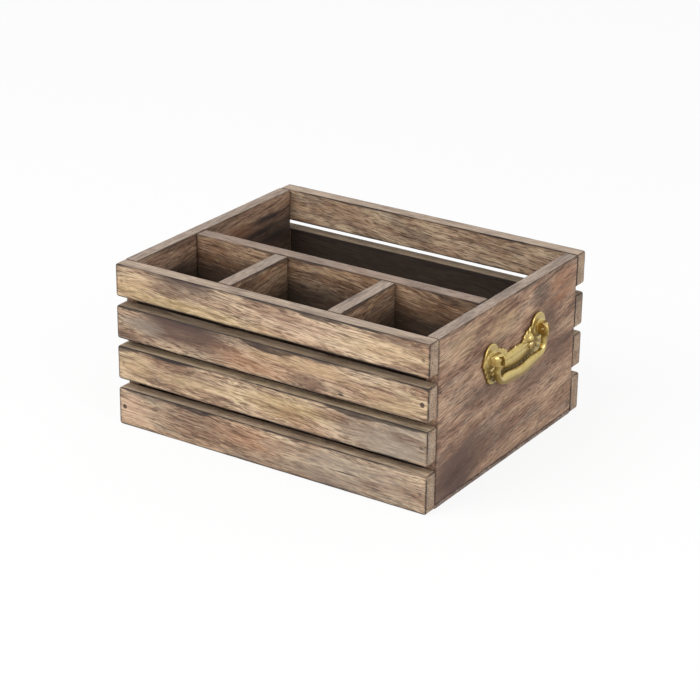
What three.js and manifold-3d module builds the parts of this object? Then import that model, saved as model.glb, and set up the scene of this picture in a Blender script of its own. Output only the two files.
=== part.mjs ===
// A slatted cutlery caddy: a nailed wooden crate with three front bays and one long rear bay,
// and a cast brass drop handle on each end. Millimetres, +Z up, X along the front, Y towards the back.
// The origin is on the floor under the middle of the crate.
import * as THREE from "three";
import { mergeVertices } from "three/addons/utils/BufferGeometryUtils.js";
import Module from "manifold-3d";

const wasm = await Module();
wasm.setup();

// Crate, in the order that it is cut
const boxLength = 256;
const boxWidth = 210;
const slatThickness = 11;
const topSlatHeight = 24.5;
const upperSlatHeight = 25;
const lowerSlatHeight = 25.5;
const bottomSlatHeight = 28.5;
const topGap = 6.5;
const middleGap = 5.5;
const bottomGap = 6.5;
const panelThickness = 10;
const dividerThickness = 11.5;
const baseThickness = 3;
const glueLine = 0.2;
const arris = 0.9;
const slatCorner = 1.8;
const panelCorner = 1.2;

// Bays, measured clear between the boards; the middle front bay and the rear bay take what is left
const frontBayDepth = 68.5;
const leftBayWidth = 69.5;
const rightBayWidth = 66;

// Brads
const bradHeadRadius = 0.9;
const bradHeadHeight = 0.8;
const bradShankRadius = 0.6;
const bradPoint = 2;
const slatBradLength = 24;
const dividerBradLength = 26;
const baseBradLength = 16;
const bradSunk = 0.4;
const clearance = 0.3;
const baseBradInset = 32;
const hiddenBradDrop = 13;
const highBradDrop = 27;
const lowBradRise = 35;

// Drop handle; the drop and the set-back are measured to the line of its two hinge pins
const handleDrop = 35.1;
const handleSetBack = 3.9;
const handleTilt = 1.7;
const knuckleSpacing = 64;
const lobeRise = 1;
const plateThickness = 2;
const plateBevel = 0.5;
const lobeRadius = 9.5;
const shoulderHalfWidth = 15;
const shoulderDepth = 0.5;
const valleyHalfWidth = 7.8;
const valleyDepth = 7.9;
const peakDepth = 4.4;
const skirtHalfWidth = 42.6;
const skirtDepth = 2.2;
const apronHalfWidth = 34.5;
const apronDepth = 22.5;
const apronLift = 3.5;
const tipPitch = 5.2;
const tipHeight = 1.1;
const bossHalfLength = 19;
const bossHalfHeight = 6.4;
const bossRise = 2.8;
const bossDrop = 10.6;
const knuckleRadius = 4.7;
const knuckleDepth = 4.3;
const knuckleInnerWidth = 3.3;
const knuckleOuterWidth = 6;
const knuckleEase = 0.5;
const pivotReach = 6.6;
const eyeRadius = 2.8;
const eyeWidth = 3.2;
const pinRadius = 1.2;
const pinInset = 0.4;
const pinReach = 3;
const bailDrop = 17.4;
const bailSag = 2.2;
const bailCornerRadius = 8;
const legHalfWidth = 2.1;
const legHalfDepth = 2.3;
const neckLength = 6.8;
const gripHalfHeight = 4.1;
const gripHalfDepth = 2.6;
const gripTipHeight = 0.8;
const screwSpacing = 41;
const screwDrop = 9;
const screwHeadRadius = 2.7;
const screwHeadHeight = 1.6;
const screwShankRadius = 1.4;
const screwLength = 10;
const screwPoint = 2.4;
const screwSlotWidth = 0.7;
const screwSlotDepth = 0.7;

// How finely round forms are cut
const domeSteps = 5;
const knuckleSteps = 5;
const knuckleFall = 0.48 * Math.PI;
const headSteps = 3;
const roundSides = 18;
const bradSides = 6;
const bailSides = 12;
const cornerSteps = 6;
const lobeFoot = 0.02 * Math.PI;
const lobeEnd = 0.93 * Math.PI;

// Heights and places that follow from them
const boxHeight =
  bottomSlatHeight + bottomGap + lowerSlatHeight + middleGap + upperSlatHeight + topGap + topSlatHeight;
const slats = [];
let slatFloor = 0;
for (const [name, height, gapAbove] of [
  ["bottom", bottomSlatHeight, bottomGap],
  ["lower", lowerSlatHeight, middleGap],
  ["upper", upperSlatHeight, topGap],
  ["top", topSlatHeight, 0],
]) {
  slats.push({ name, height, middle: slatFloor + height / 2 });
  slatFloor += height + gapAbove;
}
const slatFaceY = boxWidth / 2;
const innerFaceY = slatFaceY - slatThickness;
const innerFaceX = boxLength / 2 - panelThickness;
const panelFoot = baseThickness + glueLine;
const panelHeight = boxHeight - panelFoot;
const panelMiddle = panelFoot + panelHeight / 2;
const longDividerY = -innerFaceY + frontBayDepth + dividerThickness / 2;
const crossDividers = [
  { name: "left", x: -innerFaceX + leftBayWidth + dividerThickness / 2 },
  { name: "right", x: innerFaceX - rightBayWidth - dividerThickness / 2 },
];
const pivotHeight = boxHeight - handleDrop;

// Finishes
const wood = { color: 0xa07a4e, roughness: 0.72, metalness: 0 };
const darkWood = { color: 0x7d5a3a, roughness: 0.78, metalness: 0 };
const brass = { color: 0xcda33c, roughness: 0.24, metalness: 1 };
const steel = { color: 0x5a524a, roughness: 0.5, metalness: 0.9 };

function meshOf(name, geometry, finish) {
  const mesh = new THREE.Mesh(geometry, new THREE.MeshStandardMaterial(finish));
  mesh.name = name;
  return mesh;
}

// Boolean work: a mesh as a solid where it stands, and a solid back as bare geometry
function solidOf(mesh) {
  mesh.updateWorldMatrix(true, false);
  const bare = mesh.geometry.clone().applyMatrix4(mesh.matrixWorld);
  bare.deleteAttribute("normal");
  bare.deleteAttribute("uv");
  const merged = mergeVertices(bare, 1e-4);
  return new wasm.Manifold(
    new wasm.Mesh({
      numProp: 3,
      vertProperties: new Float32Array(merged.attributes.position.array),
      triVerts: new Uint32Array(merged.index.array),
    }),
  );
}

function geometryOf(solid) {
  const { vertProperties, triVerts } = solid.getMesh();
  const geometry = new THREE.BufferGeometry();
  geometry.setAttribute("position", new THREE.BufferAttribute(new Float32Array(vertProperties), 3));
  geometry.setIndex(new THREE.BufferAttribute(new Uint32Array(triVerts), 1));
  const facets = geometry.toNonIndexed();
  facets.computeVertexNormals();
  return facets;
}

function join(parts) {
  return geometryOf(parts.map(solidOf).reduce((whole, part) => whole.add(part)));
}

// Cuts tools out of a piece and leaves the piece where it stands
function bore(piece, tools) {
  const solid = tools.map(solidOf).reduce((rest, tool) => rest.subtract(tool), solidOf(piece));
  piece.geometry = geometryOf(solid).applyMatrix4(piece.matrixWorld.clone().invert());
}

// A board lying in the XY plane: its outline has small rounded corners, and every arris is eased
function boardGeometry(along, across, thickness, corner) {
  const [x, y] = [along / 2, across / 2];
  const outline = new THREE.Shape();
  outline.moveTo(corner - x, -y);
  outline.lineTo(x - corner, -y);
  outline.absarc(x - corner, corner - y, corner, -Math.PI / 2, 0);
  outline.lineTo(x, y - corner);
  outline.absarc(x - corner, y - corner, corner, 0, Math.PI / 2);
  outline.lineTo(corner - x, y);
  outline.absarc(corner - x, y - corner, corner, Math.PI / 2, Math.PI);
  outline.lineTo(-x, corner - y);
  outline.absarc(corner - x, corner - y, corner, Math.PI, 1.5 * Math.PI);
  const core = thickness - 2 * arris;
  const geometry = new THREE.ExtrudeGeometry(outline, {
    depth: core,
    bevelThickness: arris,
    bevelSize: arris,
    bevelOffset: -arris,
    bevelSegments: 1,
    curveSegments: 2,
  });
  return geometry.translate(0, 0, -core / 2);
}

// Boards that stand facing the front, and boards that stand facing an end
function frontBoard(name, along, height, thickness, corner, finish) {
  const board = meshOf(name, boardGeometry(along, height, thickness, corner), finish);
  board.rotation.x = Math.PI / 2;
  return board;
}

function endBoard(name, along, height, thickness, corner, finish) {
  const geometry = boardGeometry(along, height, thickness, corner).rotateX(Math.PI / 2);
  const board = meshOf(name, geometry, finish);
  board.rotation.z = Math.PI / 2;
  return board;
}

// A brad points along +Z of its own frame from the face that it is driven into
function bradProfile(length, margin) {
  const head = bradHeadRadius + margin;
  const shank = bradShankRadius + margin;
  const top = margin > 0 ? -1 : bradSunk;
  const neck = bradSunk + bradHeadHeight + margin;
  const tip = bradSunk + length + margin;
  return [
    new THREE.Vector2(0, top),
    new THREE.Vector2(head, top),
    new THREE.Vector2(head, neck),
    new THREE.Vector2(shank, neck),
    new THREE.Vector2(shank, tip - bradPoint),
    new THREE.Vector2(0, tip),
  ];
}

function brad(name, length, place, into) {
  const turn = new THREE.Quaternion().setFromUnitVectors(new THREE.Vector3(0, 0, 1), into);
  const [nail, hole] = [0, clearance].map((margin) => {
    const profile = new THREE.LatheGeometry(bradProfile(length, margin), bradSides).rotateX(Math.PI / 2);
    const made = meshOf(name, profile, steel);
    made.position.copy(place);
    made.quaternion.copy(turn);
    return made;
  });
  return { nail, hole };
}

// Crate

const crate = new THREE.Group();
const holes = new Map();

function drive(name, length, place, into, boards) {
  const { nail, hole } = brad(name, length, place, into);
  crate.add(nail);
  for (const board of boards) holes.set(board, [...(holes.get(board) ?? []), hole]);
}

const ends = [
  { name: "left", side: -1 },
  { name: "right", side: 1 },
];
const endPanels = ends.map(({ name, side }) => {
  const along = 2 * (innerFaceY - glueLine);
  const panel = endBoard(`end_panel_${name}`, along, panelHeight, panelThickness, panelCorner, wood);
  panel.position.set(side * (innerFaceX + panelThickness / 2), 0, panelMiddle);
  return panel;
});

const base = meshOf(
  "base_board",
  boardGeometry(boxLength, 2 * (innerFaceY - glueLine), baseThickness, panelCorner),
  darkWood,
);
base.position.z = baseThickness / 2;

const longDivider = frontBoard(
  "long_divider",
  2 * (innerFaceX - glueLine),
  panelHeight,
  dividerThickness,
  panelCorner,
  darkWood,
);
longDivider.position.set(0, longDividerY, panelMiddle);

const dividerBoards = crossDividers.map(({ name, x }) => {
  const along = frontBayDepth - 2 * glueLine;
  const size = [along, panelHeight, dividerThickness, panelCorner];
  const divider = endBoard(`cross_divider_${name}`, ...size, darkWood);
  divider.position.set(x, -innerFaceY + frontBayDepth / 2, panelMiddle);
  return divider;
});

const slatBoards = [];
for (const [row, side] of [
  ["front", -1],
  ["back", 1],
]) {
  for (const { name, height, middle } of slats) {
    const slat = frontBoard(`${row}_slat_${name}`, boxLength, height, slatThickness, slatCorner, wood);
    slat.position.set(0, side * (slatFaceY - slatThickness / 2), middle);
    slatBoards.push(slat);
    ends.forEach((end, i) => {
      const place = new THREE.Vector3(endPanels[i].position.x, side * slatFaceY, middle);
      const into = new THREE.Vector3(0, -side, 0);
      drive(`brad_${row}_${name}_${end.name}`, slatBradLength, place, into, [slat, endPanels[i]]);
    });
  }
}

// Brads up through the base board into the end panels, the long divider and the cross dividers
const up = new THREE.Vector3(0, 0, 1);
ends.forEach(({ name, side }, i) => {
  for (const [spot, y] of [
    ["front", baseBradInset - innerFaceY],
    ["back", innerFaceY - baseBradInset],
  ]) {
    const place = new THREE.Vector3(endPanels[i].position.x, y, 0);
    drive(`brad_base_${name}_${spot}`, baseBradLength, place, up, [base, endPanels[i]]);
  }
  const middlePlace = new THREE.Vector3(side * (innerFaceX - baseBradInset), longDividerY, 0);
  drive(`brad_base_divider_${name}`, baseBradLength, middlePlace, up, [base, longDivider]);
  const cross = dividerBoards[i];
  const crossPlace = new THREE.Vector3(cross.position.x, cross.position.y, 0);
  drive(`brad_base_cross_${name}`, baseBradLength, crossPlace, up, [base, cross]);
});

// Brads from the end panels into the long divider, and through it into the cross dividers
ends.forEach(({ name, side }, i) => {
  const place = new THREE.Vector3((side * boxLength) / 2, longDividerY, pivotHeight - hiddenBradDrop);
  const inward = new THREE.Vector3(-side, 0, 0);
  drive(`brad_divider_${name}`, dividerBradLength, place, inward, [endPanels[i], longDivider]);
  for (const [spot, z] of [
    ["high", boxHeight - highBradDrop],
    ["low", lowBradRise],
  ]) {
    const behind = new THREE.Vector3(crossDividers[i].x, longDividerY + dividerThickness / 2, z);
    const forward = new THREE.Vector3(0, -1, 0);
    drive(`brad_cross_${name}_${spot}`, dividerBradLength, behind, forward, [longDivider, dividerBoards[i]]);
  }
});

crate.add(...endPanels, base, longDivider, ...dividerBoards, ...slatBoards);

// Drop handle, drawn face on: X along the plate, Y up, Z out from the panel's face, with the origin
// on that face, midway between the two pins. It is screwed on by hand, a little out of level

const knuckleX = knuckleSpacing / 2;
const plateFront = clearance + plateThickness;

function turnedGeometry(points, segments) {
  const profile = points.map(([radius, along]) => new THREE.Vector2(radius, along));
  return new THREE.LatheGeometry(profile, segments).rotateX(Math.PI / 2);
}

function tool(geometry, x = 0, y = 0, z = 0) {
  const mesh = new THREE.Mesh(geometry);
  mesh.position.set(x, y, z);
  return mesh;
}

// A run of leaf tips to a point of the outline, standing out on the right hand of the way
function leafTips(outline, x, y) {
  const from = outline.currentPoint.clone();
  const run = new THREE.Vector2(x, y).sub(from);
  const count = Math.max(1, Math.round(run.length() / tipPitch));
  const out = new THREE.Vector2(run.y, -run.x).setLength(2 * tipHeight);
  for (let i = 1; i <= count; i++) {
    const tip = from.clone().addScaledVector(run, (i - 0.5) / count).add(out);
    const end = from.clone().addScaledVector(run, i / count);
    outline.quadraticCurveTo(tip.x, tip.y, end.x, end.y);
  }
}

// The backplate's outline, drawn about the middle of its two lobes: leaf tips run along the apron,
// up the skirt to each lobe and over the shoulders to a small peak in the middle of the top edge
function plateOutline() {
  const lobePoint = (angle) => [knuckleX + lobeRadius * Math.cos(angle), lobeRadius * Math.sin(angle)];
  const [footX, footY] = lobePoint(lobeFoot);
  const [endX, endY] = lobePoint(lobeEnd);
  const outline = new THREE.Shape();
  outline.moveTo(0, -apronDepth);
  leafTips(outline, apronHalfWidth, apronLift - apronDepth);
  leafTips(outline, skirtHalfWidth, -skirtDepth);
  outline.lineTo(footX, footY);
  outline.absarc(knuckleX, 0, lobeRadius, lobeFoot, Math.PI / 2);
  outline.absarc(knuckleX, 0, lobeRadius, Math.PI / 2, lobeEnd);
  leafTips(outline, shoulderHalfWidth, -shoulderDepth);
  leafTips(outline, valleyHalfWidth, -valleyDepth);
  outline.quadraticCurveTo(valleyHalfWidth / 3, -valleyDepth, 0, -peakDepth);
  outline.quadraticCurveTo(-valleyHalfWidth / 3, -valleyDepth, -valleyHalfWidth, -valleyDepth);
  leafTips(outline, -shoulderHalfWidth, -shoulderDepth);
  leafTips(outline, -endX, endY);
  outline.absarc(-knuckleX, 0, lobeRadius, Math.PI - lobeEnd, Math.PI / 2);
  outline.absarc(-knuckleX, 0, lobeRadius, Math.PI / 2, Math.PI - lobeFoot);
  outline.lineTo(-skirtHalfWidth, -skirtDepth);
  leafTips(outline, -apronHalfWidth, apronLift - apronDepth);
  leafTips(outline, 0, -apronDepth);
  return outline;
}

function plateGeometry() {
  const geometry = new THREE.ExtrudeGeometry(plateOutline(), {
    depth: plateThickness - 2 * plateBevel,
    bevelThickness: plateBevel,
    bevelSize: plateBevel,
    bevelOffset: -plateBevel,
    bevelSegments: 1,
    curveSegments: 4,
  });
  return geometry.translate(0, lobeRise, clearance + plateBevel);
}

// A knuckle is cut square across its foot and its flat inner cheek, rounds over the top of the pin,
// and falls away outwards into the plate. Its rings run from the inner cheek outwards.
function knuckleRing(x, size) {
  const root = pivotReach - knuckleRadius;
  const profile = new THREE.Shape();
  profile.moveTo(root, -knuckleDepth);
  profile.lineTo(pivotReach + knuckleRadius, -knuckleDepth);
  profile.lineTo(pivotReach + knuckleRadius, 0);
  profile.absarc(pivotReach, 0, knuckleRadius, 0, Math.PI);
  const place = ({ x: out, y: up }) => new THREE.Vector3(x, (up * (1 + size)) / 2, root + (out - root) * size);
  return profile.getPoints(knuckleSteps).map(place);
}

function knuckleGeometry(side) {
  const inner = knuckleX - knuckleInnerWidth;
  const width = knuckleInnerWidth + knuckleOuterWidth - knuckleEase;
  const rings = [knuckleRing(side * inner, 1 - knuckleEase / knuckleRadius)];
  for (let i = 0; i <= knuckleSteps; i++) {
    const angle = (i / knuckleSteps) * knuckleFall;
    const x = inner + knuckleEase + width * Math.sin(angle);
    rings.push(knuckleRing(side * x, Math.cos(angle)));
  }
  if (side < 0) rings.reverse();
  return loftGeometry(rings);
}

// The long low boss in the middle of the plate
function bossGeometry() {
  const points = [[0, 0]];
  for (let i = 0; i <= domeSteps; i++) {
    const angle = (i / domeSteps) * (Math.PI / 2);
    points.push([i === domeSteps ? 0 : Math.cos(angle), Math.sin(angle)]);
  }
  return turnedGeometry(points, roundSides).scale(bossHalfLength, bossHalfHeight, bossRise);
}

function crossPin(radius, from, to) {
  const pin = new THREE.CylinderGeometry(radius, radius, to - from, 12).rotateZ(Math.PI / 2);
  return pin.translate((from + to) / 2, 0, 0);
}

// The eye of the bail sits in a slot in its knuckle, open below and in front; the roof stops the bail
function slotGeometry() {
  const width = eyeWidth + 2 * clearance;
  const top = eyeRadius + clearance;
  const floor = pivotReach - eyeRadius - clearance;
  const depth = pivotReach + knuckleRadius + clearance - floor;
  const height = top + knuckleDepth + clearance;
  const slot = new THREE.BoxGeometry(width, height, depth);
  return slot.translate(0, top - height / 2, floor + depth / 2);
}

// The pin stands a little below the knuckle's inner cheek and stops in the metal beyond the slot
const pinStart = pinInset - knuckleInnerWidth;

function backplateGeometry() {
  const boss = tool(bossGeometry(), 0, -bossDrop, plateFront - plateBevel);
  const knuckles = [-1, 1].map((side) => tool(knuckleGeometry(side)));
  const plate = tool(join([tool(plateGeometry()), boss, ...knuckles]));
  const cuts = [];
  for (const side of [-1, 1]) {
    const bores = crossPin(pinRadius + clearance, -2 * knuckleInnerWidth, pinReach + clearance);
    if (side < 0) bores.rotateY(Math.PI);
    cuts.push(tool(slotGeometry(), side * knuckleX));
    cuts.push(tool(bores, side * knuckleX, 0, pivotReach));
    const shank = turnedGeometry(
      [
        [0, -plateThickness],
        [screwShankRadius + clearance, -plateThickness],
        [screwShankRadius + clearance, 2 * plateThickness],
        [0, 2 * plateThickness],
      ],
      12,
    );
    cuts.push(tool(shank, (side * screwSpacing) / 2, -screwDrop, 0));
  }
  bore(plate, cuts);
  return plate.geometry;
}

// The bail is a U that hangs from its two eyes: plain oval legs with a narrow neck at the eye, round
// corners, and a fuller grip whose lower edge swells into a row of tips
const gripHalfLength = knuckleX - bailCornerRadius;
const cornerLength = (bailCornerRadius * Math.PI) / 2;
const legLength = bailDrop - bailCornerRadius;
const bailHalfLength = gripHalfLength + cornerLength + legLength;

function bailStation(s) {
  const side = Math.sign(s) || 1;
  const distance = Math.abs(s);
  const turn = THREE.MathUtils.clamp((distance - gripHalfLength) / bailCornerRadius, 0, Math.PI / 2);
  const climbed = Math.max(0, distance - gripHalfLength - cornerLength);
  const along = Math.min(distance, gripHalfLength) + bailCornerRadius * Math.sin(turn);
  const outwards = Math.min(distance / gripHalfLength, 1);
  const hang = (bailSag / 2) * (1 + Math.cos(Math.PI * outwards));
  const depth = bailDrop + hang - bailCornerRadius * (1 - Math.cos(turn)) - climbed;
  const slim = THREE.MathUtils.smoothstep(distance, 0.7 * gripHalfLength, gripHalfLength + cornerLength);
  const width = THREE.MathUtils.lerp(gripHalfHeight, legHalfWidth, slim);
  const tips = Math.round((2 * gripHalfLength) / tipPitch);
  const wave = Math.abs(Math.sin((Math.PI * tips * (s + gripHalfLength)) / (2 * gripHalfLength)));
  return {
    centre: new THREE.Vector3(side * along, -depth, pivotReach),
    outward: new THREE.Vector3(side * Math.sin(turn), -Math.cos(turn), 0),
    halfWidth: depth > neckLength ? width : eyeWidth / 2,
    halfDepth: THREE.MathUtils.lerp(gripHalfDepth, legHalfDepth, slim),
    tip: distance < gripHalfLength ? gripTipHeight * wave : 0,
  };
}

function bailRing({ centre, outward, halfWidth, halfDepth, tip }) {
  const ring = [];
  for (let k = 0; k < bailSides; k++) {
    const angle = (2 * Math.PI * k) / bailSides;
    const reach = Math.cos(angle) * (halfWidth + (Math.cos(angle) > 0 ? tip : 0));
    const rise = Math.sin(angle) * halfDepth;
    ring.push(centre.clone().addScaledVector(outward, reach).add(new THREE.Vector3(0, 0, rise)));
  }
  return ring;
}

// Skins a row of rings and closes its two ends
function loftGeometry(rings) {
  const sides = rings[0].length;
  const points = rings.flat();
  const index = [];
  for (let i = 0; i + 1 < rings.length; i++) {
    for (let k = 0; k < sides; k++) {
      const next = (k + 1) % sides;
      const [a, b, c, d] = [i * sides + k, i * sides + next, (i + 1) * sides + next, (i + 1) * sides + k];
      index.push(a, c, b, a, d, c);
    }
  }
  const last = (rings.length - 1) * sides;
  for (let k = 1; k + 1 < sides; k++) {
    index.push(0, k, k + 1);
    index.push(last, last + k + 1, last + k);
  }
  const geometry = new THREE.BufferGeometry().setFromPoints(points);
  return geometry.setIndex(index);
}

function bailGeometry() {
  const stations = [];
  const gripSteps = 4 * Math.round((2 * gripHalfLength) / tipPitch);
  for (let i = 0; i <= gripSteps; i++) stations.push(gripHalfLength * ((2 * i) / gripSteps - 1));
  for (let i = 1; i <= cornerSteps; i++) stations.push(gripHalfLength + (cornerLength * i) / cornerSteps);
  for (let i = 1; i <= cornerSteps; i++) stations.unshift(-gripHalfLength - (cornerLength * i) / cornerSteps);
  stations.push(bailHalfLength - neckLength, bailHalfLength);
  stations.unshift(-bailHalfLength, neckLength - bailHalfLength);
  const body = tool(loftGeometry(stations.map((s) => bailRing(bailStation(s)))));
  const eyes = [-knuckleX, knuckleX].map((x) => {
    const eye = new THREE.CylinderGeometry(eyeRadius, eyeRadius, eyeWidth, roundSides).rotateZ(Math.PI / 2);
    return tool(eye, x, 0, pivotReach);
  });
  const bail = tool(join([body, ...eyes]));
  const reach = knuckleX + eyeWidth;
  bore(bail, [tool(crossPin(pinRadius + clearance, -reach, reach), 0, 0, pivotReach)]);
  return bail.geometry;
}

// A round-head screw, its head just off the plate and a driver's slot across the head
function screwProfile(margin) {
  return [
    [0, -screwLength - margin],
    [screwShankRadius + margin, screwPoint - screwLength - margin],
    [screwShankRadius + margin, 0],
  ];
}

function screwGeometry() {
  const points = screwProfile(0);
  for (let i = 0; i <= headSteps; i++) {
    const angle = (i / headSteps) * (Math.PI / 2);
    points.push([i === headSteps ? 0 : screwHeadRadius * Math.cos(angle), screwHeadHeight * Math.sin(angle)]);
  }
  const screw = tool(turnedGeometry(points, 12));
  const slot = new THREE.BoxGeometry(2 * screwHeadRadius, screwSlotWidth, 2 * screwSlotDepth);
  bore(screw, [tool(slot, 0, 0, screwHeadHeight)]);
  return screw.geometry;
}

const handleGeometry = {
  plate: backplateGeometry(),
  bail: bailGeometry(),
  pin: crossPin(pinRadius, pinStart, pinReach),
  screw: screwGeometry(),
  pilot: turnedGeometry([...screwProfile(clearance), [0, 0]], 12),
};

ends.forEach(({ name, side }, i) => {
  const handle = new THREE.Group();
  handle.position.set((side * boxLength) / 2, handleSetBack, pivotHeight);
  handle.quaternion.setFromRotationMatrix(
    new THREE.Matrix4().makeBasis(
      new THREE.Vector3(0, side, 0),
      new THREE.Vector3(0, 0, 1),
      new THREE.Vector3(side, 0, 0),
    ),
  );
  handle.rotateZ(THREE.MathUtils.degToRad(handleTilt));
  handle.updateMatrixWorld(true);
  handle.add(meshOf(`backplate_${name}`, handleGeometry.plate, brass));
  handle.add(meshOf(`bail_${name}`, handleGeometry.bail, brass));
  for (const end of [-1, 1]) {
    const spot = end * side > 0 ? "back" : "front";
    const pin = meshOf(`hinge_pin_${name}_${spot}`, handleGeometry.pin, brass);
    pin.position.set(end * knuckleX, 0, pivotReach);
    if (end < 0) pin.rotation.y = Math.PI;
    const screw = meshOf(`plate_screw_${name}_${spot}`, handleGeometry.screw, brass);
    screw.position.set((end * screwSpacing) / 2, -screwDrop, plateFront + clearance);
    const pilot = tool(handleGeometry.pilot, screw.position.x, screw.position.y, screw.position.z);
    pilot.applyMatrix4(handle.matrixWorld);
    holes.get(endPanels[i]).push(pilot);
    handle.add(pin, screw);
  }
  crate.add(handle);
});

for (const [board, tools] of holes) bore(board, tools);

export default crate;
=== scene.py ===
import math
import random

import bmesh
import bpy
from mathutils import Matrix, Vector


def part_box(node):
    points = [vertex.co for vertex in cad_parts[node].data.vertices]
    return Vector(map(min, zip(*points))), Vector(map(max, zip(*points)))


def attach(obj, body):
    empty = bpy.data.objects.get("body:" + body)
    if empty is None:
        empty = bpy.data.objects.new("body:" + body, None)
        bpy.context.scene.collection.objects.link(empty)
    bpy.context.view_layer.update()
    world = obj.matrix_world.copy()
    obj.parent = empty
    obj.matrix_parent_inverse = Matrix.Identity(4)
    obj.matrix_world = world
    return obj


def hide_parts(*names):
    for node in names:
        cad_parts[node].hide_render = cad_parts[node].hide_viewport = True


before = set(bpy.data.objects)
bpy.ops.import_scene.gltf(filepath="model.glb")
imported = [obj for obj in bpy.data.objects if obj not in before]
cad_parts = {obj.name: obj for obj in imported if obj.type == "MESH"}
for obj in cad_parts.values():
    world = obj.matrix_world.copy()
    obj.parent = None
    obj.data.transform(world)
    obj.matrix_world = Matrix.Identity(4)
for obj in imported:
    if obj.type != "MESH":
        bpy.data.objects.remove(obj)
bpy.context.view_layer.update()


# Base board
# A thin sheet of scorched mango wood that lies under the end panels and the dividers.
# It is glued and nailed to them from below with small brads.


class Wire:
    """A value on its way through a material. Sums with it add Math nodes."""

    def __init__(self, tree, socket=None):
        self.tree = tree
        self.socket = socket

    def node(self, kind, inputs, out=0, **settings):
        """Any node: its settings first, then the values or wires of its sockets."""
        made = self.tree.nodes.new("ShaderNode" + kind)
        for setting, value in settings.items():
            setattr(made, setting, value)
        for socket, value in inputs.items():
            if isinstance(value, Wire):
                self.tree.links.new(value.socket, made.inputs[socket])
            else:
                made.inputs[socket].default_value = value
        return Wire(self.tree, made.outputs[out])

    def math(self, operation, *values):
        return self.node("Math", dict(enumerate(values)), operation=operation)

    def __add__(self, other):
        return self.math("ADD", self, other)

    def __radd__(self, other):
        return self.math("ADD", other, self)

    def __sub__(self, other):
        return self.math("SUBTRACT", self, other)

    def __rsub__(self, other):
        return self.math("SUBTRACT", other, self)

    def __mul__(self, other):
        return self.math("MULTIPLY", self, other)

    def __rmul__(self, other):
        return self.math("MULTIPLY", other, self)

    def smaller(self, other):
        return self.math("MINIMUM", self, other)

    def larger(self, other):
        return self.math("MAXIMUM", self, other)

    def fade(self, none, full):
        """0 where the value is none, 1 where it is full, and soft between the two."""
        sockets = {0: self, 1: none, 2: full, 3: 0.0, 4: 1.0}
        return self.node("MapRange", sockets, interpolation_type="SMOOTHSTEP")

    def vector(self, operation, *values, out=0):
        return self.node("VectorMath", dict(enumerate(values)), out, operation=operation)

    def stain(self, under, over, blend="MIX"):
        """Lays one colour over another by this much."""
        sockets = {0: self, 6: under, 7: over}
        return self.node("Mix", sockets, 2, data_type="RGBA", blend_type=blend)


def dye(red, green, blue):
    """A colour as a paint card gives it, 0 to 255, turned into what a material reads."""
    shares = [c / 255 for c in (red, green, blue)]
    return tuple(s / 12.92 if s < 0.04045 else ((s + 0.055) / 1.055) ** 2.4 for s in shares) + (1.0,)


def start_finish(name):
    """A new material: its first wire and its Principled shader."""
    material = bpy.data.materials.new(name)
    material.use_nodes = True
    tree = material.node_tree
    return material, Wire(tree), tree.nodes["Principled BSDF"]


def feed(shader, values):
    """Leads wires to the shader's sockets of these names."""
    for socket, value in values.items():
        value.tree.links.new(value.socket, shader.inputs[socket])


stains = {
    "char": dye(40, 36, 40),
    "scorch": dye(88, 66, 58),
    "bare": dye(214, 186, 142),
    "yellow": dye(190, 164, 108),
    "pink": dye(198, 164, 140),
    "grey": dye(152, 140, 126),
    "rust": dye(158, 106, 72),
}
umber = dye(96, 66, 46)
pore_brown = dye(60, 42, 34)
pale_fleck = dye(226, 202, 168)
arris_soot = dye(36, 28, 27)
# Painted shade for the foot of the faces inside the crate.
painted_deep_shade = dye(34, 23, 17)
filler_brown = dye(56, 42, 38)
smoke_grey = dye(150, 126, 122)
sawn_buff = dye(160, 142, 125)

# Painted shade darkens the faces that look into the crate, which are nearer its middle than this, in
# millimetres. There is none of it this high up, and all of it this low down.
inner_x = 118.6
inner_y = 94.6
shade_none_above = 117.0
shade_full_below = 93.0


def streaks(grain, length, width, shift, detail=2.0, roughness=0.5):
    """Noise drawn out along the grain, its marks about length by width millimetres."""
    scale = (1 / length, 1 / width, 1 / width)
    spot = grain.vector("MULTIPLY_ADD", grain, scale, (shift, 1.7 * shift, 0.6 * shift))
    sockets = {"Vector": spot, "Scale": 1.0, "Detail": detail, "Roughness": roughness}
    return grain.node("TexNoise", sockets)


def split(vector):
    """The X, Y and Z of a wire that carries a vector."""
    parts = vector.node("SeparateXYZ", {0: vector}).socket.node.outputs
    return [Wire(vector.tree, socket) for socket in parts]


def lead_grain(spot, turn, shift):
    """The board's own directions, turned and shifted, and bent a little as a tree's fibres are."""
    laid = spot.node("Mapping", {"Vector": spot, "Rotation": turn, "Location": (shift, 0.0, 0.0)})
    slow = laid.vector("MULTIPLY", laid, (0.014, 0.045, 0.045))
    wander = laid.node("TexNoise", {"Vector": slow, "Scale": 1.0}, 1)
    wander = wander.vector("SUBTRACT", wander, (0.5, 0.5, 0.5))
    return laid.vector("MULTIPLY_ADD", wander, (0.0, 9.0, 9.0), laid)


def to_arris(spot, low, high):
    """How far each point of a board's faces is from the nearest arris."""
    middle, half = (low + high) / 2, (high - low) / 2
    inset = spot.vector("ABSOLUTE", spot.vector("SUBTRACT", spot, tuple(middle)))
    along, across, up = split(spot.vector("SUBTRACT", tuple(half), inset))
    return along.smaller(across).larger(along.larger(across).smaller(up))


def to_mark(spot, centre, size):
    """How far each point is from the middle of a mark, with 1 at the mark's rim."""
    scale = tuple(1 / r for r in size)
    offset = tuple(-c / r for c, r in zip(centre, size))
    return spot.vector("LENGTH", spot.vector("MULTIPLY_ADD", spot, scale, offset), out=1)


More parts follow.
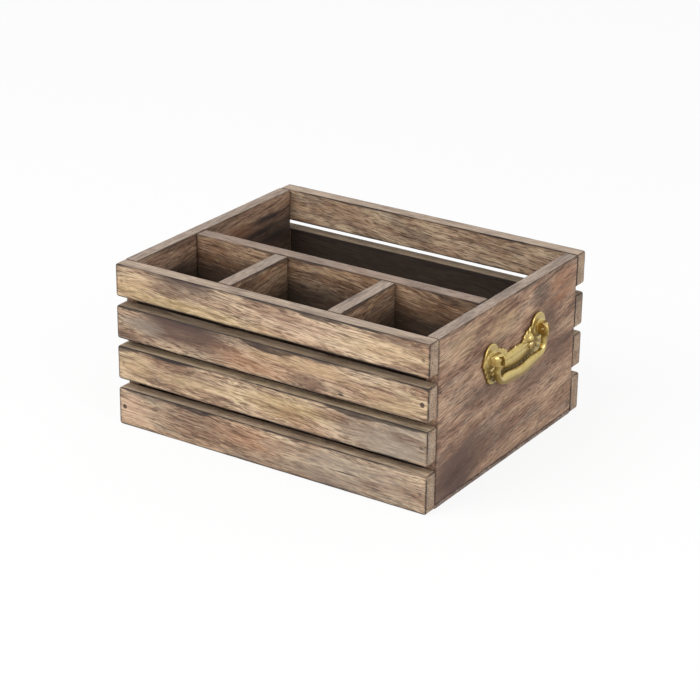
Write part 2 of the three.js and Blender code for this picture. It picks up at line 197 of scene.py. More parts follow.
def scorched_mango(
    name, box, turn, seed, tints, smoke, marks=(), top=None, ends=0.0, burn=1.0, inner_shade=0.85, bold=1.0
):
    """Planed mango wood, torched and rubbed back. Turn leads the grain. Each mark is a kind of stain, its
    middle and its reach in the crate, in millimetres, and its strength. Ends is how much the sawn ends
    show, burn how far the arrises are charred and bold how dark the figure. The argument after burn is
    how dark the painted shade on the faces inside the crate grows towards their foot. Top, if given, is
    the
    colour of the top faces: sanded on a rim, and on the upper battens darker as painted shade in the gap."""
    material, wire, shader = start_finish(name)
    place = wire.node("TexCoord", {}, "Object")
    spot = place.vector("SCALE", place)
    spot.socket.node.inputs["Scale"].default_value = 1000.0
    low, high = (1000 * corner for corner in box)
    bare, warm = tints
    shift = 13.7 * seed
    reach_x, reach_y, height = split(spot.vector("ABSOLUTE", spot))

    grain = lead_grain(spot, turn, shift)
    broad = streaks(grain, 60, 14, shift).fade(0.36, 0.64)
    figure = streaks(grain, 60, 1.9, shift + 5, 3.0, 0.62)
    fibre = streaks(grain, 24, 0.95, shift + 9, 2.0, 0.6)
    hairs = streaks(grain, 9, 0.62, shift + 14, 1.0).fade(0.52, 0.66)
    dashes = streaks(grain, 13, 1.2, shift + 17, 1.0).fade(0.55, 0.64)
    flecks = streaks(grain, 7, 0.9, shift + 21, 1.0).fade(0.58, 0.72)
    haze = streaks(grain, 58, 8, shift + 27, 5.0, 0.62)
    mist = streaks(grain, 40, 8, shift + 33, 3.0, 0.6)
    soft, fine = haze - 0.5, fibre - 0.5

    colour = broad.stain(bare, warm)
    colour = (mist.fade(0.5, 0.66) * 0.45).stain(colour, stains["grey"])
    colour = (mist.fade(0.46, 0.34) * 0.35).stain(colour, stains["pink"])
    colour = (figure.fade(0.5, 0.68) * (0.62 * bold)).stain(colour, umber)
    colour = (fibre.fade(0.44, 0.64) * (0.5 * bold)).stain(colour, umber)
    colour = (flecks * (0.5 * bold)).stain(colour, pale_fleck)
    colour = (dashes * (0.55 * bold)).stain(colour, umber)
    colour = (hairs * 0.65).stain(colour, pore_brown)

    for kind, centre, size, strength in marks:
        if kind != "filler":
            cloud = (to_mark(spot, centre, size) + soft * 2.2 + fine * 0.9).fade(1.25, 0.35)
            colour = (cloud * strength).stain(colour, stains[kind])
    smoky = haze.fade(0.46, 0.68) * smoke
    colour = smoky.stain(colour, smoke_grey, "MULTIPLY")
    for kind, centre, size, strength in marks:
        if kind == "filler":
            plug = (to_mark(spot, centre, size) + fine * 0.5).fade(1.1, 0.7)
            colour = (plug * strength).stain(colour, filler_brown)

    edge = to_arris(spot, low, high)
    below = high.z - height
    lick = streaks(grain, 75, 40, shift + 41, 1.0).fade(0.46, 0.74) * 6.0
    tongue = (lick + fine * 3.4 + soft * 2.0 - below).fade(-0.5, 1.1) * (0.6 + 0.4 * figure) * 0.95
    singed = (edge + soft * 3.4).fade(2.2, 0.3) * 0.55
    line = (edge + fine * 0.9).fade(1.2, 0.5) * mist.fade(0.36, 0.56) * 0.95
    for burnt in (tongue, singed, line):
        colour = (burnt * burn).stain(colour, arris_soot)
    if ends:
        sawn = reach_x.fade(high.x - 0.5, high.x - 0.2) * edge.fade(0.2, 0.7) * ends
        worn = (hairs.larger(dashes) * 0.6).stain(sawn_buff, umber)
        colour = sawn.stain(colour, worn)
    # Painted shade: the faces inside the crate grow darker towards the bottom of the bays.
    inside = (inner_x - reach_x).smaller(inner_y - reach_y).fade(0.0, 0.5)
    painted_inner_shade = inside * (height + soft * 26.0 + fine * 10.0).fade(shade_none_above, shade_full_below)
    colour = (painted_inner_shade * inner_shade).stain(colour, painted_deep_shade)
    # The top faces: sanded on the rims, and darker where the top colour stands for painted shade in a
    # gap.
    if top:
        sanded_and_shaded = below.fade(0.45, 0.25) * (edge + soft * 1.2).fade(0.35, 1.0) * 0.85
        worn = (fibre.fade(0.3, 0.7) * 0.55).stain(top, umber)
        worn = (smoky * 0.7).stain(worn, arris_soot)
        colour = sanded_and_shaded.stain(colour, worn)

    relief = fibre * 0.5 + figure * 0.3 - hairs * 0.6
    bump = wire.node("Bump", {"Strength": 0.5, "Distance": 0.00035, "Height": relief})
    roughness = 0.62 + 0.22 * fibre - 0.06 * smoky
    feed(shader, {"Base Color": colour, "Roughness": roughness, "Normal": bump})
    shader.inputs["Specular IOR Level"].default_value = 0.35
    return material


def pick(board, wanted):
    """Selects only the edges of the board, open in edit mode, that are wanted."""
    bpy.ops.mesh.select_mode(type="EDGE")
    bpy.ops.mesh.select_all(action="DESELECT")
    shape = bmesh.from_edit_mesh(board.data)
    for edge in shape.edges:
        if wanted(edge):
            edge.select_set(True)
    bmesh.update_edit_mesh(board.data)


def wear(board, strength, size, group=""):
    """Takes an uneven skin off the board, or off one group of its points, and never adds to it."""
    cloud = bpy.data.textures.new(board.name + "_wear", "CLOUDS")
    cloud.noise_scale = size
    rub = board.modifiers.new("wear", "DISPLACE")
    rub.texture = cloud
    rub.texture_coords = "LOCAL"
    rub.mid_level = 0.0
    rub.strength = -strength
    rub.vertex_group = group
    bpy.ops.object.modifier_apply(modifier=rub.name)


wear_depth = 0.00012
face_waves = 0.03
arris_nicks = 0.008
plank_cell = 0.004
plank_corner = 0.0012
plank_arris = 0.0008


def saw_board(name, node, cell=plank_cell, corner=plank_corner, ease=plank_arris):
    """A board of its CAD node's size, with rounded corners, eased arrises and worn faces."""
    low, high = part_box(node)
    size = high - low
    thick = min(range(3), key=lambda axis: size[axis])
    bpy.ops.object.select_all(action="DESELECT")
    bpy.ops.mesh.primitive_cube_add(size=1, location=(low + high) / 2, scale=size)
    board = bpy.context.object
    board.name = name
    bpy.ops.object.transform_apply()
    bpy.ops.object.mode_set(mode="EDIT")
    for axis in range(3):
        cuts = round(size[axis] / cell) - 1
        if cuts > 0:
            pick(board, lambda e: abs((e.verts[0].co - e.verts[1].co)[axis]) > 0.9 * size[axis])
            bpy.ops.mesh.subdivide(number_cuts=cuts)

    def corner_edge(e):
        run = (e.verts[0].co - e.verts[1].co).normalized()
        return e.calc_face_angle(0) > 1 and abs(run[thick]) > 0.9

    pick(board, corner_edge)
    bpy.ops.mesh.bevel(offset=corner, segments=4, affect="EDGES")
    pick(board, lambda e: e.calc_face_angle(0) > 1)
    bpy.ops.mesh.bevel(offset=ease, segments=3, affect="EDGES")
    bpy.ops.object.mode_set(mode="OBJECT")
    middle, half = (low + high) / 2, size / 2
    rounded = board.vertex_groups.new(name="arris")
    for vertex in board.data.vertices:
        inset = sorted(h - abs(c - m) for c, m, h in zip(vertex.co, middle, half))
        if inset[1] < 1.2 * ease:
            rounded.add([vertex.index], 1.0, "REPLACE")
    wear(board, wear_depth, face_waves)
    wear(board, 1.6 * wear_depth, arris_nicks, "arris")
    bpy.ops.object.shade_smooth_by_angle(angle=math.radians(40))
    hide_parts(node)
    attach(board, "crate")
    return board, (low, high)


base_tints = (dye(182, 166, 156), dye(142, 122, 110))
base_turn = (0.0, 0.0, 0.05)
board, box = saw_board("base_plank", "base_board", ease=0.0006)
# The base board lies deep in the crate, under painted shade.
mango = scorched_mango("base_mango", box, base_turn, 1, base_tints, smoke=0.6, burn=0.15, inner_shade=0.6)
board.data.materials.append(mango)


# End panels
# Two upright boards of scorched mango wood, planed smooth, their grain rising a little to the back.
# They stand on the base board between the slats, which are nailed to their edges.

panel_tints = (dye(200, 166, 138), dye(162, 127, 104))
panel_top = dye(180, 165, 152)
panel_turn = (-math.radians(6), 0.0, -math.pi / 2)
panel_marks = {
    "right": (
        ("scorch", (128, -74, 16), (9, 34, 22), 0.9),
        ("scorch", (128, -50, 22), (9, 30, 18), 0.6),
        ("scorch", (128, -10, 22), (9, 26, 16), 0.4),
        ("scorch", (128, -18, 62), (8, 18, 14), 0.45),
        ("bare", (128, -14, 106), (7, 24, 12), 0.35),
        ("char", (128, 42, 110), (7, 13, 11), 0.55),
        ("scorch", (128, 54, 84), (8, 18, 20), 0.6),
        ("scorch", (128, -46, 64), (8, 20, 10), 0.5),
        ("scorch", (128, 30, 48), (8, 30, 10), 0.5),
        ("scorch", (128, 70, 60), (8, 22, 14), 0.5),
        ("bare", (128, -58, 108), (7, 26, 12), 0.25),
        ("rust", (128, 72, 108), (7, 16, 14), 0.35),
    ),
    "left": (
        ("scorch", (-128, -52, 40), (9, 34, 22), 0.7),
        ("scorch", (-128, 46, 92), (9, 26, 16), 0.55),
        ("char", (-128, 70, 20), (7, 20, 13), 0.5),
        ("rust", (-128, 10, 100), (7, 30, 12), 0.35),
        ("char", (-118, 62, 108), (4, 24, 3.2), 0.85),
        ("char", (-118, 50, 99), (4, 26, 2.8), 0.9),
        ("char", (-118, 72, 91), (4, 20, 3.2), 0.85),
        ("char", (-118, 28, 91), (4, 18, 3.0), 0.8),
        ("rust", (-118, 20, 104), (4, 30, 9), 0.6),
        ("char", (-118, -46, 96), (4, 18, 10), 0.7),
    ),
}
for side, seed in (("right", 2), ("left", 3)):
    board, box = saw_board(f"end_plank_{side}", f"end_panel_{side}")
    mango = scorched_mango(
        f"end_mango_{side}",
        box,
        panel_turn,
        seed,
        panel_tints,
        smoke=0.7,
        marks=panel_marks[side],
        top=panel_top,
        burn=0.5,
        bold=0.68,
    )
    board.data.materials.append(mango)


# Front and back slats
# Eight sawn battens of mango wood, torched along their arrises, four in front and four behind.
# Each is glued and nailed across the edges of the end panels, with a gap to the next.

slat_tints = (dye(224, 198, 166), dye(188, 155, 126))
slat_turn = (0.0, -math.radians(3.5), 0.0)
# The top faces of the battens: sanded on the top rim, and on the upper battens a darker tone that is
# painted shade in the gap.
sanded_and_shaded_tops = {
    "top": dye(200, 181, 162),
    "upper": dye(164, 146, 122),
    "lower": dye(202, 182, 152),
    "bottom": dye(200, 178, 152),
}
front_marks = {
    "top": (
        ("yellow", (-70, -105, 101), (70, 8, 8), 0.38),
        ("char", (-72, -105, 122), (34, 7, 7), 0.7),
        ("scorch", (-70, -105, 116), (34, 7, 9), 0.55),
        ("char", (6, -105, 122), (44, 7, 3.5), 0.6),
        ("pink", (20, -105, 112), (40, 7, 9), 0.35),
        ("scorch", (104, -105, 120), (26, 7, 4), 0.4),
        ("bare", (96, -105, 108), (40, 7, 8), 0.3),
        ("bare", (-112, -105, 112), (20, 7, 9), 0.3),
        ("filler", (-123, -105, 109.75), (1.6, 3, 1.6), 0.4),
        ("filler", (123, -105, 109.75), (1.6, 3, 1.6), 0.5),
    ),
    "upper": (
        ("char", (-66, -105, 91), (42, 7, 7), 0.95),
        ("scorch", (-72, -105, 82), (46, 8, 13), 0.85),
        ("rust", (0, -105, 76), (46, 7, 9), 0.3),
        ("scorch", (34, -105, 72), (18, 7, 7), 0.6),
        ("grey", (-108, -105, 80), (18, 7, 8), 0.5),
        ("bare", (104, -105, 76), (30, 7, 9), 0.4),
        ("bare", (30, -105, 84), (40, 7, 7), 0.3),
        ("scorch", (-124, -105, 70), (14, 7, 8), 0.6),
        ("char", (60, -105, 70), (2.6, 3, 1.2), 0.85),
        ("filler", (-123, -105, 78.5), (1.5, 3, 1.5), 0.4),
        ("filler", (123, -105, 78.5), (1.9, 3, 1.9), 0.9),
    ),
    "lower": (
        ("bare", (-112, -105, 48), (18, 8, 16), 0.35),
        ("char", (-82, -105, 61), (22, 7, 5.5), 0.9),
        ("scorch", (-66, -105, 52), (30, 7, 9), 0.3),
        ("yellow", (14, -105, 50), (44, 7, 9), 0.35),
        ("grey", (98, -105, 46), (44, 8, 16), 0.7),
        ("bare", (-64, -105, 44), (30, 8, 8), 0.35),
        ("filler", (-123, -105, 47.75), (1.5, 3, 1.5), 0.35),
        ("filler", (123, -105, 47.75), (1.5, 3, 1.5), 0.5),
    ),
    "bottom": (
        ("pink", (-116, -105, 14), (16, 8, 14), 0.5),
        ("scorch", (-70, -105, 16), (34, 8, 13), 0.35),
        ("char", (-98, -105, 28), (26, 7, 5), 0.6),
        ("rust", (-10, -105, 16), (34, 7, 9), 0.3),
        ("grey", (70, -105, 14), (66, 8, 18), 0.55),
        ("char", (66, -105, 13.5), (11, 3, 0.5), 0.95),
        ("scorch", (20, -105, 5), (60, 7, 7), 0.45),
        ("filler", (-123, -105, 14.25), (1.9, 3, 1.9), 0.9),
        ("filler", (123, -105, 14.25), (1.5, 3, 1.5), 0.5),
    ),
}
slat_arris = {"front": 0.0007, "back": 0.0004}
# How dark the painted shade inside the crate grows, on the battens in front and behind.
slat_inner_shade = {"front": 0.85, "back": 0.95}
slat_bold = {"front": 1.0, "back": 0.75}
back_stains = (("char", 0.7), ("scorch", 0.6), ("yellow", 0.4), ("scorch", 0.5), ("grey", 0.5))
slat_cell = 0.0028
slat_corner = 0.002
brad_reach = 123


def back_marks(seed, middle):
    """Filler over the brads of a slat at the back, this high, and stains drawn by chance."""
    draw = random.Random(seed)
    face = 105
    marks = [("filler", (spot, face, middle), (1.7, 3, 1.7), 0.6) for spot in (-brad_reach, brad_reach)]
    for kind, amount in back_stains:
        centre = (draw.uniform(-110, 110), face, middle + draw.uniform(-8, 10))
        marks.append((kind, centre, (draw.uniform(18, 42), 8, 9), amount))
    return marks


for row, slat_side in (("front", -1), ("back", 1)):
    for level, seed in (("top", 4), ("upper", 5), ("lower", 6), ("bottom", 7)):
        name, node = f"{row}_batten_{level}", f"{row}_slat_{level}"
        board, box = saw_board(name, node, slat_cell, slat_corner, slat_arris[row])
        middle = 500 * (box[0].z + box[1].z)
        mango = scorched_mango(
            f"{row}_mango_{level}",
            box,
            slat_turn,
            seed + 4 * slat_side,
            slat_tints,
            smoke=0.6,
            marks=front_marks[level] if row == "front" else back_marks(seed, middle),
            top=sanded_and_shaded_tops[level],
            ends=0.45,
            inner_shade=0.0 if level == "top" else slat_inner_shade[row],
            bold=slat_bold[row],
        )
        board.data.materials.append(mango)


# Long divider
# One upright board of mango wood that parts the long rear bay from the three front bays.
# It stands on the base board and is nailed through the end panels.

# These tints are darker than the outer boards' as painted shade for the dim inside of the crate.
shaded_inner_tints = (dye(190, 158, 126), dye(146, 110, 80))
divider_top = dye(168, 150, 137)
divider_turn = (0.0, -math.radians(5), 0.0)
board, box = saw_board("long_partition", "long_divider")
mango = scorched_mango(
    "long_mango", box, divider_turn, 12, shaded_inner_tints, smoke=0.7, top=divider_top, burn=0.7
)
board.data.materials.append(mango)


# Cross dividers
# Two short boards of mango wood that part the front bays from each other.
# They are held by brads through the long divider and up through the base board.

for side, seed in (("left", 13), ("right", 14)):
    board, box = saw_board(f"cross_partition_{side}", f"cross_divider_{side}")
    name = f"cross_mango_{side}"
    mango = scorched_mango(name, box, panel_turn, seed, shaded_inner_tints, smoke=0.7, top=panel_top, burn=0.7)
    board.data.materials.append(mango)


# Brads
# Thin steel brads with small flat heads, punched just below the wood and stopped with filler.
# They are the CAD's own solids, with a dull blackened finish.

brad_black, wire, shader = start_finish("brad_steel_black")
place = wire.node("TexCoord", {}, "Object")
mill = wire.node("TexNoise", {"Vector": place, "Scale": 1500.0, "Detail": 2.0})
rusty = mill.fade(0.5, 0.7).stain(dye(72, 66, 62), dye(104, 70, 48))
feed(shader, {"Base Color": rusty, "Roughness": 0.4 + 0.25 * mill})
shader.inputs["Metallic"].default_value = 0.8
for name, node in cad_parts.items():
    if name.startswith("brad_"):
        node.data.materials.clear()
        node.data.materials.append(brad_black)


# Backplates
# Cast brass plates, each in one piece with the two knuckles that carry the bail: smooth lobes, scalloped
# shoulders and apron, veined leaves and a long ridge. Two screws hold each to its end panel. The right
# one is made in millimetres along its pins (u), up from them (v) and out of the panel (w).

panel_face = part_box("end_panel_right")[1].x
pin_spots = {spot: sum(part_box(f"hinge_pin_right_{spot}"), Vector()) / 2 for spot in ("front", "back")}
hinge_middle = (pin_spots["front"] + pin_spots["back"]) / 2
hinge_run = pin_spots["back"] - pin_spots["front"]
tilt = math.atan2(hinge_run.z, hinge_run.y)
plate_front = 2.3
lobe_rise = 1.0
leaf_pitch = 5.2
behind_grip = 26.0
boss_drop = 10.6
flank_slope = math.radians(24)
knuckle_u = 32.0
cheek_u = 29.0
pivot_reach = 6.6
screw_u = 20.5
screw_v = -9.0
cast_grain = 0.2


def at(u, v, w):
    """A point on the right handle in millimetres: along its pins, up from them, and out of the panel."""
    y = (u * math.cos(tilt) - v * math.sin(tilt)) / 1000
    z = (u * math.sin(tilt) + v * math.cos(tilt)) / 1000
    return Vector((panel_face + w / 1000, hinge_middle.y + y, hinge_middle.z + z))


def select_only(*pieces):
    """Selects these pieces alone, with the first of them active."""
    bpy.ops.object.select_all(action="DESELECT")
    for piece in pieces:
        piece.select_set(True)
    bpy.context.view_layer.objects.active = pieces[0]


def settled():
    """The piece just added, its place and size taken into its mesh."""
    piece = bpy.context.object
    bpy.ops.object.transform_apply()
    return piece


def copied(piece, name, move=Matrix()):
    """A new piece with a mesh like another's, moved within the mesh."""
    copy = bpy.data.objects.new(name, piece.data.copy())
    bpy.context.scene.collection.objects.link(copy)
    copy.data.transform(move)
    return copy


def cad_copy(node, name):
    """A merged copy of a CAD node, to be finished as one casting."""
    copy = copied(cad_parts[node], name)
    copy.data.materials.clear()
    select_only(copy)
    bpy.ops.object.mode_set(mode="EDIT")
    bpy.ops.mesh.select_all(action="SELECT")
    bpy.ops.mesh.remove_doubles(threshold=0.00001)
    bpy.ops.object.mode_set(mode="OBJECT")
    return copy


def cast(name, parts, polish, share):
    """Runs several overlapping solids together into one smooth casting, with this share of its faces."""
    select_only(*parts)
    bpy.ops.object.join()
    casting = bpy.context.object
    casting.name = name
    bpy.ops.object.transform_apply()
    skin = casting.modifiers.new("skin", "REMESH")
    skin.mode = "VOXEL"
    skin.voxel_size = cast_grain / 1000
    rub = casting.modifiers.new("rub", "SMOOTH")
    rub.factor = 0.5
    rub.iterations = polish
    thin = casting.modifiers.new("thin", "DECIMATE")
    thin.ratio = share
    for step in (skin, rub, thin):
        bpy.ops.object.modifier_apply(modifier=step.name)
    bpy.ops.object.shade_smooth()
    return casting


def bulge(u, v, w, reach, turn=0.0):
    """An egg of cast metal: its reach along the plate, up and out, turned face on."""
    bpy.ops.object.select_all(action="DESELECT")
    bpy.ops.mesh.primitive_uv_sphere_add(
        segments=32,
        ring_count=16,
        radius=0.001,
        location=at(u, v, w),
        rotation=(tilt + turn, 0, 0),
        scale=(reach[2], reach[0], reach[1]),
    )
    return settled()


def rod(u, v, w, radius, length, across=False):
    """A rod that stands out from the plate, or lies across it along the pins."""
    bpy.ops.object.select_all(action="DESELECT")
    turn = (math.pi / 2 + tilt, 0, 0) if across else (0, math.pi / 2, 0)
    bpy.ops.mesh.primitive_cylinder_add(
        vertices=32, radius=radius / 1000, depth=length / 1000, location=at(u, v, w), rotation=turn
    )
    return settled()


def ring(u, v, w, radius, thickness):
    """A raised rim that lies flat on the plate."""
    bpy.ops.object.select_all(action="DESELECT")
    bpy.ops.mesh.primitive_torus_add(
        major_segments=64,
        minor_segments=12,
        major_radius=radius / 1000,
        minor_radius=thickness / 1000,
        location=at(u, v, w),
        rotation=(0, math.pi / 2, 0),
    )
    return settled()


def block(u, v, w, size):
    """A box: its size along the plate, up and out."""
    bpy.ops.object.select_all(action="DESELECT")
    spread = Vector((size[2], size[0], size[1])) / 1000
    bpy.ops.mesh.primitive_cube_add(size=1, location=at(u, v, w), rotation=(tilt, 0, 0), scale=spread)
    return settled()


def slab(v, w, length, slope):
    """A tool that planes a flank from a ridge at this height and reach, down and back at this slope."""
    deep = 40
    start, ridge = at(0, 0, 0), at(0, v, w)
    tool = block(0, -deep / 2, deep / 2, (length, deep, deep))
    tool.data.transform(Matrix.Translation(-start))
    tool.data.transform(Matrix.Rotation(slope, 4, at(-1, 0, 0) - start))
    tool.data.transform(Matrix.Translation(ridge))
    return tool


def cut(piece, tool):
    """Cuts the tool out of the piece and throws it away."""
    select_only(piece)
    chop = piece.modifiers.new("cut", "BOOLEAN")
    chop.operation = "DIFFERENCE"
    chop.solver = "EXACT"
    chop.object = tool
    bpy.ops.object.modifier_apply(modifier=chop.name)
    bpy.data.objects.remove(tool)


def tips_between(start, end):
    """The leaf tips of one run of the plate's edge."""
    run = Vector(end) - Vector(start)
    count = max(1, round(run.length / leaf_pitch))
    return [Vector(start) + run * (i + 0.5) / count for i in range(count)]


def leaf(side, root, tip, width, height, lift=-0.25):
    """A leaf in low relief, from the middle of the plate to a tip of its edge, or a tool for a vein."""
    middle, run = (root + tip) / 2, tip - root
    turn = math.atan2(run.y, side * run.x)
    reach = (run.length / 2 + 0.5, width, height)
    return bulge(side * middle.x, middle.y + lobe_rise, plate_front + lift, reach, turn)


# Where the leaf tips of the edge are, and the reach of each swelling along the plate, up and out
shoulder = tips_between((22.7, 2.1), (15.0, -0.5)) + tips_between((15.0, -0.5), (7.8, -7.9))
skirt = tips_between((42.0, -3.0), (34.5, -19.0))
apron = tips_between((33.0, -18.9), (4.0, -22.2))
boss_swell = (19.0, 4.0, 2.7)
lobe_swell = (8.6, 6.2, 1.6)
bead_swell = (4.2, 3.3, 2.9)
cheek_swell = (1.0, 4.4, 4.3)
peak_swell = (1.7, 2.2, 0.9)

casting = cad_copy("backplate_right", "backplate_casting")
cut(casting, slab(-boss_drop + 1.5, 5.0, length=37, slope=flank_slope))
parts = [casting, bulge(0, -boss_drop + 3.4, 1.6, boss_swell)]
for side in (-1, 1):
    parts.append(bulge(side * (knuckle_u + 1), -1.0, plate_front - 0.4, lobe_swell))
    for tip in shoulder:
        root = Vector((0.5 * tip.x + 8, -7.5))
        parts.append(leaf(side, root, tip * 0.98, width=1.5, height=0.8))
    for tip in skirt:
        root = Vector((27.0, 0.6 * tip.y - 3))
        parts.append(leaf(side, root, tip, width=1.8, height=0.48))
    for tip in apron:
        if tip.x > behind_grip:
            root = Vector((0.9 * tip.x, -18.5))
            parts.append(leaf(side, root, tip, width=1.7, height=0.36))
        else:
            root = Vector((0.93 * tip.x, -17.0))
            cut(casting, leaf(side, root, tip, width=0.6, height=0.55, lift=0.1))
    parts.append(bulge(side * 20.0, -4.2, plate_front - 0.3, bead_swell, turn=side * 0.5))
    parts.append(ring(side * screw_u, screw_v, plate_front - 0.1, radius=3.5, thickness=0.6))
    parts.append(bulge(side * cheek_u, 0, pivot_reach, cheek_swell))
parts.append(bulge(0, -4.6, plate_front - 0.3, peak_swell))

plate = cast("cast_backplate_right", parts, polish=3, share=0.4)
for side in (-1, 1):
    cut(plate, rod(side * (cheek_u - 1), 0, pivot_reach, radius=2.1, length=2.8, across=True))
select_only(plate)
bpy.ops.object.shade_smooth_by_angle(angle=math.radians(50))


def half_turn(piece, name):
    """The left handle's copy of a right-hand piece: the same casting, turned about the crate's middle."""
    middle = Matrix.Translation((0, hinge_middle.y, 0))
    return copied(piece, name, middle @ Matrix.Rotation(math.pi, 4, "Z") @ middle.inverted())


tarnish = dye(164, 140, 68)
# The brown is a painted reflection of the wood on the brass's sides, the olive a painted shade on its
# undersides.
painted_side_reflection = dye(158, 118, 56)
painted_underside_shade = dye(118, 90, 14)
speck_brown = dye(118, 92, 40)


def aged_and_shaded_brass(name, bright, side_reflection, underside_shade, reach=0.25):
    """Polished brass with clouds of tarnish. Its sides carry a brown painted reflection of the wood, and
    its undersides an olive painted shade, each by so much. Reach is how far a face may look up and still
    be an underside."""
    material, wire, shader = start_finish(name)
    place = wire.node("TexCoord", {}, "Object")
    sideways, upward = split(wire.node("TexCoord", {}, "Normal"))[1:]
    cloudy = wire.node("TexNoise", {"Vector": place, "Scale": 260.0, "Detail": 3.0, "Roughness": 0.6})
    ripple = wire.node("TexNoise", {"Vector": place, "Scale": 620.0, "Detail": 2.0, "Roughness": 0.5})
    speck = wire.node("TexNoise", {"Vector": place, "Scale": 2400.0, "Detail": 2.0, "Roughness": 0.6})
    # Painted shade: faces that look down turn olive, duller and less metallic. Painted reflection: faces
    # that look along the pins turn brown.
    under = (upward + (cloudy - 0.5) * 0.5).fade(reach, reach - 0.65)
    cheek = sideways.math("ABSOLUTE", sideways).fade(0.45, 0.95)
    colour = (cloudy.fade(0.48, 0.7) * 0.5).stain(bright, tarnish)
    colour = (cheek * side_reflection).stain(colour, painted_side_reflection)
    colour = (under * underside_shade).stain(colour, painted_underside_shade)
    colour = (speck.fade(0.62, 0.76) * 0.3).stain(colour, speck_brown)
    roughness = 0.14 + 0.12 * cloudy + 0.06 * speck + 0.26 * under
    bump = wire.node("Bump", {"Strength": 0.35, "Distance": 0.0002, "Height": ripple + 0.25 * speck})
    metal = -0.8 * under + 1.0
    feed(shader, {"Base Color": colour, "Roughness": roughness, "Normal": bump, "Metallic": metal})
    return material


cast_brass = aged_and_shaded_brass("cast_brass", dye(202, 180, 118), side_reflection=0.6, underside_shade=1.0)
for side, piece in (("right", plate), ("left", half_turn(plate, "cast_backplate_left"))):
    piece.data.materials.append(cast_brass)
    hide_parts(f"backplate_{side}")
    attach(piece, "crate")


# Plate screws
# Round-head brass wood screws with a single driver's slot, two to a plate, driven into the end panel
# through the plate.

screw_brass = aged_and_shaded_brass("screw_brass", dye(230, 206, 150), side_reflection=0.3, underside_shade=0.6)
head_foot = 2.6
head_height = 1.6
shank_length = 9.7
head = bulge(screw_u, screw_v, head_foot, (2.7, 2.7, head_height))
bpy.ops.object.mode_set(mode="EDIT")
bpy.ops.mesh.select_all(action="SELECT")
bpy.ops.mesh.bisect(plane_co=at(0, 0, head_foot), plane_no=(1, 0, 0), clear_inner=True, use_fill=True)
bpy.ops.object.mode_set(mode="OBJECT")
cut(head, block(screw_u, screw_v, head_foot + head_height, (5.6, 0.7, 1.4)))
shank = rod(screw_u, screw_v, head_foot - 4.8, radius=1.35, length=shank_length)
select_only(head, shank)
bpy.ops.object.join()
bpy.ops.object.shade_smooth_by_angle(angle=math.radians(35))
aside = Matrix.Translation(at(-screw_u, 0, 0) - at(screw_u, 0, 0))
screws = {("right", "back"): head, ("right", "front"): copied(head, "screw", aside)}
for spot, other in (("back", "front"), ("front", "back")):
    screws["left", other] = half_turn(screws["right", spot], "screw")
for (side, spot), piece in screws.items():
    piece.name = f"round_screw_{side}_{spot}"
    piece.data.materials.append(screw_brass)
    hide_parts(f"plate_screw_{side}_{spot}")
    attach(piece, "crate")


# Hinge pins
# Short brass pins, pressed through each knuckle's inner cheek and the eye of the bail into the metal
# beyond. Their domed ends show in the cheeks.

pin_brass = aged_and_shaded_brass("pin_brass", dye(236, 222, 180), side_reflection=0.0, underside_shade=0.4)
pin_radius = 0.0012
pin_wear = 0.0001
pins = {}
for spot, place in pin_spots.items():
    low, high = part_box(f"hinge_pin_right_{spot}")
    bpy.ops.object.select_all(action="DESELECT")
    bpy.ops.mesh.primitive_cylinder_add(
        vertices=32,
        radius=pin_radius,
        depth=(high - low).y - pin_wear,
        location=place,
        rotation=(math.pi / 2 + tilt, 0, 0),
    )
    pin = settled()
    bpy.ops.object.mode_set(mode="EDIT")
    pick(pin, lambda e: e.calc_face_angle(0) > 1)
    bpy.ops.mesh.bevel(offset=0.0005, segments=4, affect="EDGES")
    bpy.ops.object.mode_set(mode="OBJECT")
    bpy.ops.object.shade_smooth_by_angle(angle=math.radians(35))
    pins["right", spot] = pin
for spot, other in (("back", "front"), ("front", "back")):
    pins["left", other] = half_turn(pins["right", spot], "pin")
for (side, spot), piece in pins.items():
    piece.name = f"round_pin_{side}_{spot}"
    piece.data.materials.append(pin_brass)
    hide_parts(f"hinge_pin_{side}_{spot}")
    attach(piece, "crate")


# Bails
# Cast brass drop handles, each a U with plain oval legs and a fuller grip edged with leaf tips.
# The two eyes turn on the hinge pins, and the bail hangs down under its own weight.

grip_drop = 17.4
grip_sag = 2.2
grip_half = 24.0
tip_count = 9
tip_swell = (2.6, 2.6, 2.3)
casting = cad_copy("bail_right", "bail_casting")
cut(casting, slab(-grip_drop - 0.8, pivot_reach + 2.7, 1.3 * grip_half, flank_slope))
parts = [casting]
for i in range(tip_count):
    u = grip_half * 0.86 * (2 * (i + 0.5) / tip_count - 1)
    sag = grip_sag / 2 * (1 + math.cos(math.pi * u / grip_half))
    parts.append(bulge(u, -grip_drop - sag - 1.7, pivot_reach, tip_swell))
bail = cast("cast_bail_right", parts, polish=8, share=0.6)
bail_brass = aged_and_shaded_brass("bail_brass", dye(204, 182, 120), side_reflection=0.0, underside_shade=0.9, reach=0.4)
for side, piece in (("right", bail), ("left", half_turn(bail, "cast_bail_left"))):
    piece.data.materials.append(bail_brass)
    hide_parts(f"bail_{side}")
    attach(piece, f"bail_{side}_body")


# Studio
# A pale floor that keeps a faint shadow, a white room, one large soft lamp and one fill. The camera
# stands in front of the right-hand corner, looks down on the crate and is rolled a little.

paper_glow = 0.88
lamp_aim = Vector((0, 0, 0.06))


def pale_rays(wire):
    """1 for the rays that come straight from the camera, off a shiny face or through glass."""
    rays = wire.node("LightPath", {}).socket.node.outputs
    seen = Wire(wire.tree, rays["Is Camera Ray"]).larger(Wire(wire.tree, rays["Is Glossy Ray"]))
    return seen.larger(Wire(wire.tree, rays["Is Transmission Ray"]))


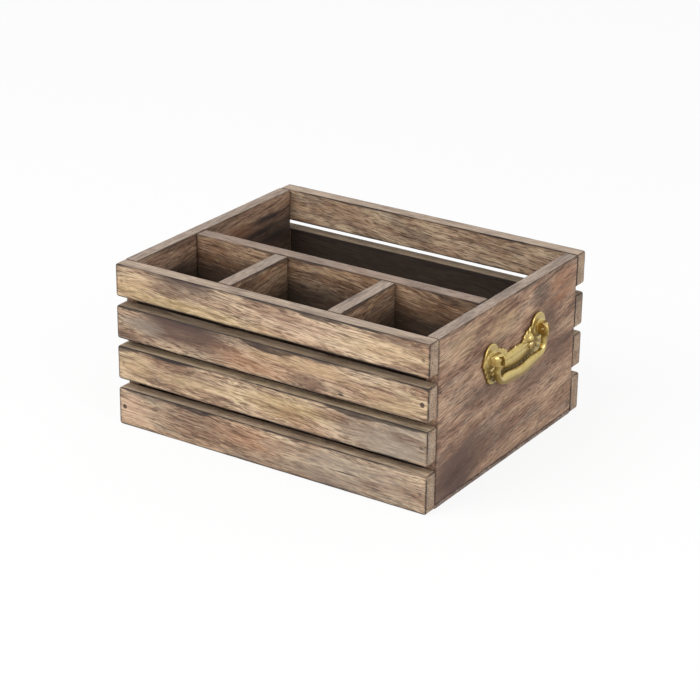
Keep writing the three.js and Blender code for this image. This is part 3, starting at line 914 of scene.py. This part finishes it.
bpy.ops.object.select_all(action="DESELECT")
bpy.ops.mesh.primitive_plane_add(size=16, location=(0, 0, -0.0002))
floor = bpy.context.object
floor.name = "studio_floor"
paper, wire, shader = start_finish("studio_paper")
shader.inputs["Base Color"].default_value = (0.9, 0.9, 0.9, 1)
shader.inputs["Roughness"].default_value = 0.9
glow = wire.node("Emission", {"Color": (1, 1, 1, 1), "Strength": 1.0})
plain = Wire(wire.tree, shader.outputs[0])
sheet = wire.node("MixShader", {0: pale_rays(wire) * paper_glow, 1: plain, 2: glow})
wire.tree.links.new(sheet.socket, wire.tree.nodes["Material Output"].inputs["Surface"])
floor.data.materials.append(paper)

scene = bpy.context.scene
scene.world = bpy.data.worlds.new("studio_room")
scene.world.use_nodes = True
wire = Wire(scene.world.node_tree)
room = wire.tree.nodes["Background"]
room.inputs["Color"].default_value = (1, 1, 1, 1)
feed(room, {"Strength": 0.6 + 0.4 * pale_rays(wire)})


def hang_lamp(name, place, size, power):
    """A round soft lamp that points at the crate."""
    lamp = bpy.data.lights.new(name, "AREA")
    lamp.shape = "DISK"
    lamp.size = size
    lamp.energy = power
    hung = bpy.data.objects.new(name, lamp)
    hung.location = place
    hung.rotation_mode = "QUATERNION"
    hung.rotation_quaternion = (lamp_aim - Vector(place)).to_track_quat("-Z", "Y")
    scene.collection.objects.link(hung)


hang_lamp("key_lamp", (-0.7, -1.5, 1.7), 1.6, 31)
hang_lamp("fill_lamp", (1.6, -0.5, 1.0), 1.1, 9)

lens = bpy.data.cameras.new("photo_camera")
lens.lens = 116.05
lens.sensor_width = 36
camera = bpy.data.objects.new("photo_camera", lens)
scene.collection.objects.link(camera)
stand = Vector((0.806883, -1.240760, 0.675655))
aim = Vector((0.016092, -0.026890, 0.06428))
back = (stand - aim).normalized()
across = Vector((0, 0, 1)).cross(back).normalized()
above = back.cross(across)
roll = math.radians(0.7165)
right = math.cos(roll) * across + math.sin(roll) * above
top = math.cos(roll) * above - math.sin(roll) * across
camera.matrix_world = Matrix.Translation(stand) @ Matrix((right, top, back)).transposed().to_4x4()
scene.camera = camera
scene.view_settings.view_transform = "Standard"
